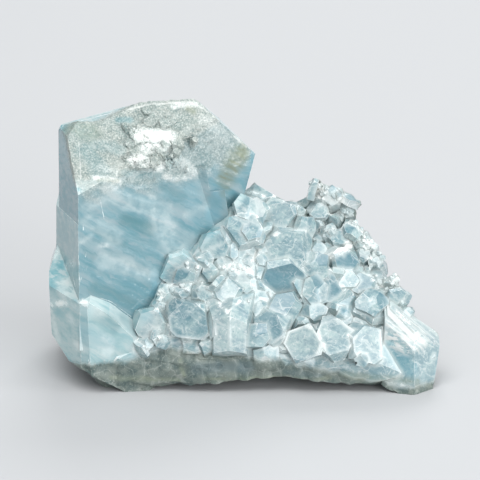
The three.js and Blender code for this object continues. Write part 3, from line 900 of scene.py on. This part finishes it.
# %% Pattern helper
class Patterns(Finish):
    """The patterns that a crystal's finish is mixed from."""

    def vector(self, operation, inputs):
        return self.node("VectorMath", inputs, operation=operation).outputs

    def grain(self, place, scale, detail=3.0, roughness=0.55, distortion=0.0):
        look = {"Scale": scale, "Detail": detail, "Roughness": roughness, "Distortion": distortion}
        return self.node("TexNoise", {"Vector": place, **look}).outputs["Fac"]

    def turned(self, place, first, second, third, stretch):
        """The place measured along three directions, each with its own scale."""
        parts = {}
        for axis, direction, size in zip("XYZ", (first, second, third), stretch):
            parts[axis] = self.vector("DOT_PRODUCT", {0: place, 1: Vector(direction) * size})["Value"]
        return self.node("CombineXYZ", parts).outputs[0]

    def wobbled(self, place, scale, reach):
        """The place moved by noise, at most by about half the reach."""
        colour = self.node("TexNoise", {"Vector": place, "Scale": scale}).outputs["Color"]
        middle = self.vector("SUBTRACT", {0: colour, 1: (0.5, 0.5, 0.5)})[0]
        return self.vector("MULTIPLY_ADD", {0: middle, 1: (reach, reach, reach), 2: place})[0]

    def crack(self, place, start, end, half_width):
        """1 on the straight line between two points and 0 from half_width on."""
        run = end - start
        from_start = self.vector("SUBTRACT", {0: place, 1: start})[0]
        along = self.vector("DOT_PRODUCT", {0: from_start, 1: run / run.length_squared})["Value"]
        share = self.math("ADD", along, 0.0, clamp=True)
        reached = self.vector("SCALE", {0: run, "Scale": share})[0]
        away = self.vector("DISTANCE", {0: from_start, 1: reached})["Value"]
        return self.curve(away, 0.3 * half_width, half_width, 1, 0)

    def flakes(self, place, scale):
        """A number from 0 to 1 for each angular cell."""
        cell = self.node("TexVoronoi", {"Vector": place, "Scale": scale}).outputs["Color"]
        return self.node("SeparateColor", {0: cell}).outputs[0]

    def loops(self, place, scale, half_width):
        """1 on thin closed lines of irregular shape: the places where noise passes its middle."""
        away = self.math("ABSOLUTE", self.math("SUBTRACT", self.grain(place, scale, 2.0), 0.5))
        return self.curve(away, 0.2 * half_width, half_width, 1, 0)


# %% [markdown]
# Every pattern starts from the place in Object coordinates, so it belongs to the stone and stays with it.
# The scales are lumps per metre: 110 gives clouds 9 mm wide, and 2300 gives grit of 0.4 mm.

# %% Clouds, patches and grit
finish = Patterns(celestite_finish)
place = finish.node("TexCoord").outputs["Object"]
wobble = finish.wobbled(finish.wobbled(place, 150, 2.4 * MM), 600, 0.8 * MM)
nearly = finish.wobbled(place, 400, 0.5 * MM)
cloud = finish.grain(place, 110, 4)
patchy = finish.grain(place, 350, 3)
fine = finish.grain(place, 1100, 4)
grit = finish.grain(place, 2300, 3, 0.6)
cloud_fine = finish.grain(wobble, 260, 4, 0.6, 0.4)
speck = finish.grain(wobble, 1300, 3, 0.6, 0.5)
print("nodes so far:", len(finish.tree.nodes))

# %% [markdown]
# The veils inside the big crystal are thin layers that run down to the right. Noise makes them when the
# place is measured with a small scale along their run, which draws each lump out six times. The striated
# crystal's stripes come in the same way. Flakes and outlines stand for the flaws inside the small crystals.

# %% Veils, stripes and flakes
VEIL_STRETCH = (0.16, 1.0, 0.5)
STRIPE_STRETCH = (0.12, 1.0, 0.3)
veil_place = finish.turned(wobble, veil_run, veil_across, front_out, VEIL_STRETCH)
veil = finish.grain(veil_place, 190, 5, 0.6, 0.3)
veil_fine = finish.grain(veil_place, 800, 3, 0.6)
stripe_place = finish.turned(nearly, rib_run.normalized(), rib_across, front_out, STRIPE_STRETCH)
stripes = finish.grain(stripe_place, 1500, 2)
flake = finish.flakes(wobble, 210)
small_flake = finish.flakes(wobble, 520)
outlines = finish.loops(nearly, 170, 0.02)
small_outlines = finish.loops(nearly, 380, 0.03)
print("nodes so far:", len(finish.tree.nodes))

# %% [markdown]
# The big crystal is clearer and bluer than the druse, which is milky and grey. Each body starts as two
# colours that noise mixes. Further colours go over it: clouds, thin veils, flakes and specks. A curve cuts
# each noise into soft patches, and its last number says how strong the patches are.

# %% Colours of the body
tower_body = finish.mix(finish.curve(veil, 0.38, 0.62), (0.28, 0.62, 0.69), (0.78, 0.95, 0.95))
tower_body = finish.over(tower_body, [
    (finish.curve(cloud, 0.45, 0.7, 0, 0.5), (0.76, 0.92, 0.91)),
    (finish.curve(veil_fine, 0.50, 0.68, 0, 0.6), (0.92, 0.98, 0.97)),
    (finish.curve(veil_fine, 0.48, 0.34, 0, 0.45), (0.20, 0.46, 0.52)),
    (finish.times(finish.attribute("foot"), 0.6), (0.46, 0.65, 0.67)),
])
druse_body = finish.mix(finish.curve(cloud_fine, 0.38, 0.62), (0.24, 0.41, 0.46), (0.53, 0.70, 0.70))
druse_body = finish.over(druse_body, [
    (finish.times(flake, 0.4), (0.26, 0.44, 0.51)),
    (finish.times(small_flake, 0.3), (0.54, 0.69, 0.72)),
    (finish.curve(veil_fine, 0.52, 0.68, 0, 0.5), (0.84, 0.93, 0.92)),
    (finish.curve(speck, 0.55, 0.72, 0, 0.7), (0.88, 0.95, 0.93)),
    (finish.curve(speck, 0.46, 0.30, 0, 0.6), (0.18, 0.34, 0.39)),
])
druse_share = finish.attribute("druse")
body = finish.mix(druse_share, tower_body, druse_body)
print("nodes so far:", len(finish.tree.nodes))

# %% [markdown]
# Over the body come each face's value, darker below 0 and lighter above: the stone's own tone by chance,
# and painted shade and painted highlight on the listed faces. Then come the blue of thick clear stone, with
# one patch of painted shade, and the pale stripes of the striated crystal.

# %% Tints and stripes
face_tone_and_painted_light_share = finish.attribute("face_tone_and_painted_light")
body = finish.over(body, [
    (finish.curve(face_tone_and_painted_light_share, 0.0, -1.0), (0.11, 0.27, 0.34)),
    (finish.curve(face_tone_and_painted_light_share, 0.0, 1.0), (0.95, 0.97, 0.96)),
    (finish.times(finish.attribute("blue"), 0.5), (0.20, 0.50, 0.62)),
])
striped = finish.mix(finish.curve(stripes, 0.44, 0.56), body, (0.96, 0.96, 0.93))
body = finish.mix(finish.times(finish.attribute("striated"), 0.8), body, striped)
print("nodes so far:", len(finish.tree.nodes))

# %% [markdown]
# White lines come from three things. Sharp edges and folds get lines that are partly bruises and partly painted
# highlight, in a width that noise changes from place to place. Flaws in the druse show as thin outlines.
# Scratches and painted highlights along the roof's top edge and the left face's edge lie where the photograph
# shows them: each is a line between two pixels with a half width in millimetres.

# %% White lines
# The lines from (63, 137) to (83, 230) along the left face's edge and from (63, 126) to (246, 147) along the
# roof's top edge are painted highlights; the rest are scratches and ledge lines.
SCRATCHES_AND_EDGE_HIGHLIGHTS = [
    (97, 183, 104, 219, 0.14), (63, 137, 78, 139, 0.25), (79, 140, 81, 182, 0.2), (81, 182, 83, 230, 0.22),
    (72, 272, 75, 286, 0.2), (75, 286, 90, 295, 0.2), (90, 295, 112, 302, 0.15), (112, 302, 131, 317, 0.15),
    (163, 265, 171, 288, 0.12), (168, 261, 200, 258, 0.15), (63, 126, 80, 121, 0.35), (80, 121, 100, 116, 0.35),
    (100, 116, 130, 109, 0.4), (130, 109, 150, 104, 0.45), (150, 104, 190, 102, 0.5),
    (190, 102, 205, 110, 0.45), (205, 110, 236, 138, 0.4), (236, 138, 246, 147, 0.4),
]
width = finish.curve(patchy, 0.3, 0.7, 0.03, 0.16)


def line_at(distance):
    """1 where the stored distance is 0, and 0 from the line's width on."""
    away = finish.math("DIVIDE", finish.attribute(distance), width)
    return finish.math("SUBTRACT", 1, away, clamp=True)


roof_here = finish.attribute("roof")
line = finish.highest(line_at("to_ridge"), finish.times(line_at("to_fold"), 0.4))
line = finish.times(line, finish.curve(patchy, 0.38, 0.65, 0.15, 0.6))
line = finish.times(line, finish.curve(roof_here, 0, 1, 1, 0.25))
# A few crystals get a wide band of painted rim light along their edges.
near_ridge = finish.curve(finish.attribute("to_ridge"), 0.1, 1.1, 0.55, 0)
line = finish.highest(line, finish.times(near_ridge, finish.attribute("painted_rim_light")))
flaws_and_edge_highlights = finish.highest(outlines, finish.times(small_outlines, 0.6))
flaws_and_edge_highlights = finish.times(flaws_and_edge_highlights, finish.curve(patchy, 0.42, 0.62, 0.0, 0.4))
flaws_and_edge_highlights = finish.times(flaws_and_edge_highlights, druse_share)
for x1, y1, x2, y2, half_width in SCRATCHES_AND_EDGE_HIGHLIGHTS:
    listed_line = finish.crack(nearly, seen_at(x1, y1), seen_at(x2, y2), half_width * MM)
    listed_line = finish.times(listed_line, finish.curve(patchy, 0.3, 0.7, 0.25, 0.55))
    flaws_and_edge_highlights = finish.highest(flaws_and_edge_highlights, listed_line)
print(len(SCRATCHES_AND_EDGE_HIGHLIGHTS), "scratches")

# %% [markdown]
# The roof is etched, so it is a grey green with light and dark grit. Painted shade darkens the shade marks,
# painted light brightens the druse's folds, and pale marks and all the white lines go on top.

# %% Frost and white
frost = finish.mix(finish.curve(patchy, 0.35, 0.62), (0.215, 0.25, 0.225), (0.29, 0.325, 0.295))
frost = finish.over(frost, [
    (finish.curve(grit, 0.5, 0.66), (0.52, 0.54, 0.50)),
    (finish.curve(grit, 0.48, 0.32), (0.11, 0.15, 0.145)),
])
pale_here = finish.attribute("pale")
painted_fold_light = finish.curve(finish.attribute("to_fold"), 0.0, 1.3, 0.55, 0.0)
# Painted shade goes over the painted shade marks, and painted light over the druse's folds and the pale marks.
body = finish.over(body, [
    (finish.times(roof_here, 0.9), frost),
    (finish.times(finish.attribute("painted_shade"), 0.8), (0.11, 0.29, 0.33)),
    (finish.times(painted_fold_light, finish.highest(druse_share, pale_here)), (0.85, 0.95, 0.94)),
])
gritty = finish.times(roof_here, finish.curve(grit, 0.35, 0.6, 0.35, 1.0))
cloudy = finish.times(finish.math("SUBTRACT", 1, roof_here), finish.curve(patchy, 0.3, 0.6, 0.4, 0.95))
pale = finish.times(pale_here, finish.math("ADD", gritty, cloudy))
# White holds frost, bruises and flaws, and the painted highlights on edges, rims and the listed faces.
white = finish.highest(line, flaws_and_edge_highlights, pale)
body = finish.mix(white, body, (0.91, 0.92, 0.89))
print("nodes so far:", len(finish.tree.nodes))

# %% [markdown]
# The rind is dull grey green stone with darker patches, grit and a few pale outlines. The stain is a thin
# film that lies over everything.

# %% Rind and stain
crust = finish.mix(finish.curve(patchy, 0.35, 0.65), (0.08, 0.12, 0.115), (0.17, 0.205, 0.185))
crust = finish.over(crust, [
    (finish.curve(cloud, 0.48, 0.66, 0, 0.6), (0.20, 0.235, 0.21)),
    (finish.curve(grit, 0.52, 0.7, 0, 0.5), (0.33, 0.36, 0.32)),
    (finish.times(outlines, 0.3), (0.42, 0.45, 0.42)),
    (finish.attribute("blue"), (0.10, 0.15, 0.165)),
])
rind_here = finish.attribute("rind")
stain = finish.times(finish.attribute("stain"), finish.curve(veil_fine, 0.38, 0.58, 1.0, 0.6))
body = finish.over(body, [(rind_here, crust), (stain, (0.26, 0.30, 0.21))])
print("nodes so far:", len(finish.tree.nodes))

# %% [markdown]
# Clear faces are smooth and let two fifths of the light in. Frost, rind and white lines are rough and let in
# a tenth. The IOR of 1.62 is celestite's own. Full transmission would show an empty glass block, because the
# real stone is full of flaws that send the light back. Light that crosses the stone takes on its colour,
# which Volume Absorption does, so thick places are bluer than thin edges.

# %% Gloss, light and depth
CLEAR_TO_DULL_ROUGHNESS = (0.12, 0.5)
CLEAR_TO_DULL_TRANSMISSION = (0.4, 0.1)
BUMP_HEIGHT = 0.12 * MM
dull = finish.highest(finish.times(roof_here, 0.8), rind_here, white)
uneven = finish.times(fine, finish.curve(dull, 0, 1, 0.25, 1))
bump = finish.node("Bump", {"Strength": 0.35, "Distance": BUMP_HEIGHT, "Height": uneven})
depth = finish.node("VolumeAbsorption", {"Color": (0.45, 0.80, 0.86), "Density": 25})
sockets = finish.tree.nodes["Principled BSDF"].inputs
shader_values = {
    "Base Color": body,
    "Roughness": finish.curve(dull, 0, 1, *CLEAR_TO_DULL_ROUGHNESS),
    "Transmission Weight": finish.curve(dull, 0, 1, *CLEAR_TO_DULL_TRANSMISSION),
    "IOR": 1.62,
    "Specular IOR Level": 0.3,
    "Normal": bump.outputs["Normal"],
}
for name, value in shader_values.items():
    feed(finish.tree, sockets[name], value)
feed(finish.tree, finish.tree.nodes["Material Output"].inputs["Volume"], depth.outputs["Volume"])
print("celestite:", len(finish.tree.nodes), "nodes")

# %% [markdown]
# The mesh gets its finish. Edges between crystal faces are shaded sharp, and the rind's lumps are shaded
# smooth: an angle between the two tells them apart.

# %% Finish on the mesh
SHARP_SHADING = math.radians(25)
base.materials.append(celestite_finish)
base.set_sharp_from_angle(angle=SHARP_SHADING)
print("celestite:", len(base.polygons), "triangles")

# %% [markdown]
# The piece joins the frame. It rides on the only body, root. It stands for the solid, which stays in the
# model for collision. The six small crystals were only patterns, so they go.

# %% Into the frame
for o in list(templates.objects):
    bpy.data.objects.remove(o)
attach(celestite, "root")
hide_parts(NODE)
print(celestite.name, "rides on root and stands for", NODE)
